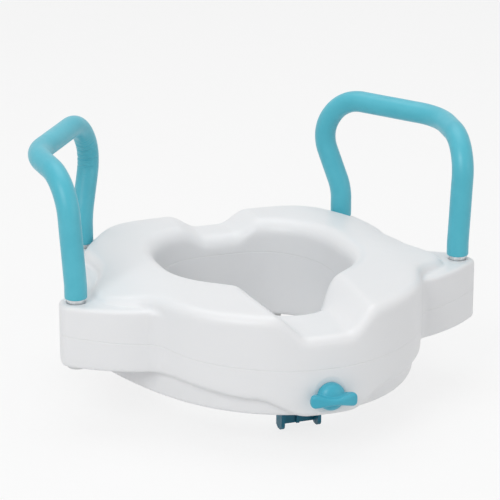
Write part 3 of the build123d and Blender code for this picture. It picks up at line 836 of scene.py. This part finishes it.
# broad soft folds on the right arm, where the rear leg bends
bend, inner = rear_bend(-1)
broad = [(bend + d, w, deep, reach, inner + turn) for d, w, deep, reach, turn in (
    (-0.016, 0.0016, 0.00045, 1.3, 0.1), (-0.006, 0.0019, 0.00090, 1.5, 0.0),
    (0.0045, 0.0018, 0.00085, 1.4, -0.15), (0.0130, 0.0016, 0.00070, 1.2, 0.2),
    (0.0215, 0.0022, 0.00110, 1.6, 0.0), (0.0345, 0.0020, 0.00080, 1.4, -0.1),
    (0.0480, 0.0018, 0.00030, 1.2, 0.0))]
sleeve("right_sleeve", -1, "right_arm", broad, inner + 2.6)

# many fine ribs on the left arm
RIBS, RIB_PITCH = 16, 0.0036
bend, inner = rear_bend(1)
fine = [(bend - 0.026 + RIB_PITCH * k + 0.0006 * math.sin(k * 2.3), 0.00095,
         0.00042 * math.sin(math.pi * (k + 1) / (RIBS + 1)) + 0.00012, 1.05 + 0.2 * math.sin(k * 1.7),
         inner + 0.12 * math.sin(k * 2.9)) for k in range(RIBS)]
sleeve("left_sleeve", 1, "left_arm", fine, inner + 2.6)
for name, grip in (("left_sleeve", "left_arm_grip"), ("right_sleeve", "right_arm_grip")):
    obj = bpy.data.objects[name]
    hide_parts(grip)


# ------------------------------------------------------------------ floor and light
def seen_white(m, shader, how_much):
    """The camera, and mirrors and clear things, see the surface blended this far to white."""
    path = add(m, "ShaderNodeLightPath")
    seen = path.outputs["Is Camera Ray"]
    for kind in ("Is Glossy Ray", "Is Transmission Ray"):
        either = add(m, "ShaderNodeMath", operation="MAXIMUM")
        join(m, seen, either.inputs[0])
        join(m, path.outputs[kind], either.inputs[1])
        seen = either.outputs[0]
    share = add(m, "ShaderNodeMath", operation="MULTIPLY")
    white = add(m, "ShaderNodeEmission", Strength=1.0)
    mix = add(m, "ShaderNodeMixShader")
    join(m, seen, share.inputs[0])
    share.inputs[1].default_value = how_much
    join(m, share.outputs[0], mix.inputs["Fac"])
    join(m, shader.outputs[0], mix.inputs[1])
    join(m, white.outputs[0], mix.inputs[2])
    join(m, mix.outputs[0], m.node_tree.nodes["Material Output"].inputs["Surface"])


FLOOR_FRONT, FLOOR_BACK, FLOOR_HALF_WIDTH = -6.0, 3.0, 7.0
COVE_RADIUS, WALL_TOP = 1.5, 6.0
FLOOR_DROP = 0.0005             # keeps the floor clear of the pads' undersides
LIGHT_AIM = (0.0, 0.0, 0.15)


def floor_and_backdrop():
    """Floor that curves up into a wall behind the object."""
    mesh = bpy.data.meshes.new("floor")
    build = bmesh.new()
    profile = [(FLOOR_FRONT, 0.0), (FLOOR_BACK, 0.0)]
    for degrees in range(6, 91, 6):
        a = math.radians(degrees)
        profile.append((FLOOR_BACK + COVE_RADIUS * math.sin(a), COVE_RADIUS - COVE_RADIUS * math.cos(a)))
    profile.append((FLOOR_BACK + COVE_RADIUS, WALL_TOP))
    rows = [[build.verts.new((x, y, z - FLOOR_DROP)) for x in (-FLOOR_HALF_WIDTH, FLOOR_HALF_WIDTH)]
            for y, z in profile]
    for low, high in zip(rows, rows[1:]):
        build.faces.new((low[0], low[1], high[1], high[0]))
    build.to_mesh(mesh)
    build.free()
    for face in mesh.polygons:
        face.use_smooth = True
    floor = bpy.data.objects.new("floor", mesh)
    bpy.context.scene.collection.objects.link(floor)
    m, shader = new_material("floor", roughness=0.9, specular=0.1)
    tone = ramp(m, noise_of(m, place(m), 3.0), [(0.3, [0.800] * 3), (0.7, [0.810] * 3)])
    join(m, tone, shader.inputs["Base Color"])
    seen_white(m, shader, 0.80)
    mesh.materials.append(m)


def lamp(name, at, size, power):
    """White area light that looks at the object."""
    data = bpy.data.lights.new(name, "AREA")
    data.shape = "RECTANGLE"
    data.size = size[0]
    data.size_y = size[1]
    data.energy = power
    obj = bpy.data.objects.new(name, data)
    obj.location = at
    obj.rotation_euler = (Vector(LIGHT_AIM) - Vector(at)).to_track_quat("-Z", "Y").to_euler()
    bpy.context.scene.collection.objects.link(obj)


def world_light(strength):
    """Even white light; the camera and mirrors see plain white instead."""
    world = bpy.data.worlds.new("world")
    bpy.context.scene.world = world
    world.use_nodes = True
    tree = world.node_tree
    light = tree.nodes["Background"]
    light.inputs["Color"].default_value = (1.0, 1.0, 1.0, 1.0)
    light.inputs["Strength"].default_value = strength
    seen = tree.nodes.new("ShaderNodeBackground")
    seen.inputs["Color"].default_value = (1.0, 1.0, 1.0, 1.0)
    seen.inputs["Strength"].default_value = 1.0
    path = tree.nodes.new("ShaderNodeLightPath")
    either = tree.nodes.new("ShaderNodeMath")
    either.operation = "MAXIMUM"
    mix = tree.nodes.new("ShaderNodeMixShader")
    tree.links.new(path.outputs["Is Camera Ray"], either.inputs[0])
    tree.links.new(path.outputs["Is Glossy Ray"], either.inputs[1])
    tree.links.new(either.outputs[0], mix.inputs["Fac"])
    tree.links.new(light.outputs["Background"], mix.inputs[1])
    tree.links.new(seen.outputs["Background"], mix.inputs[2])
    tree.links.new(mix.outputs["Shader"], tree.nodes["World Output"].inputs["Surface"])


floor_and_backdrop()
world_light(0.55)
lamp("key", (-2.1, -1.8, 2.1), (1.5, 1.5), 34.0)
lamp("fill", (2.2, -2.4, 1.2), (1.8, 1.4), 9.0)
lamp("top", (0.0, 0.5, 2.6), (2.0, 2.0), 20.5)
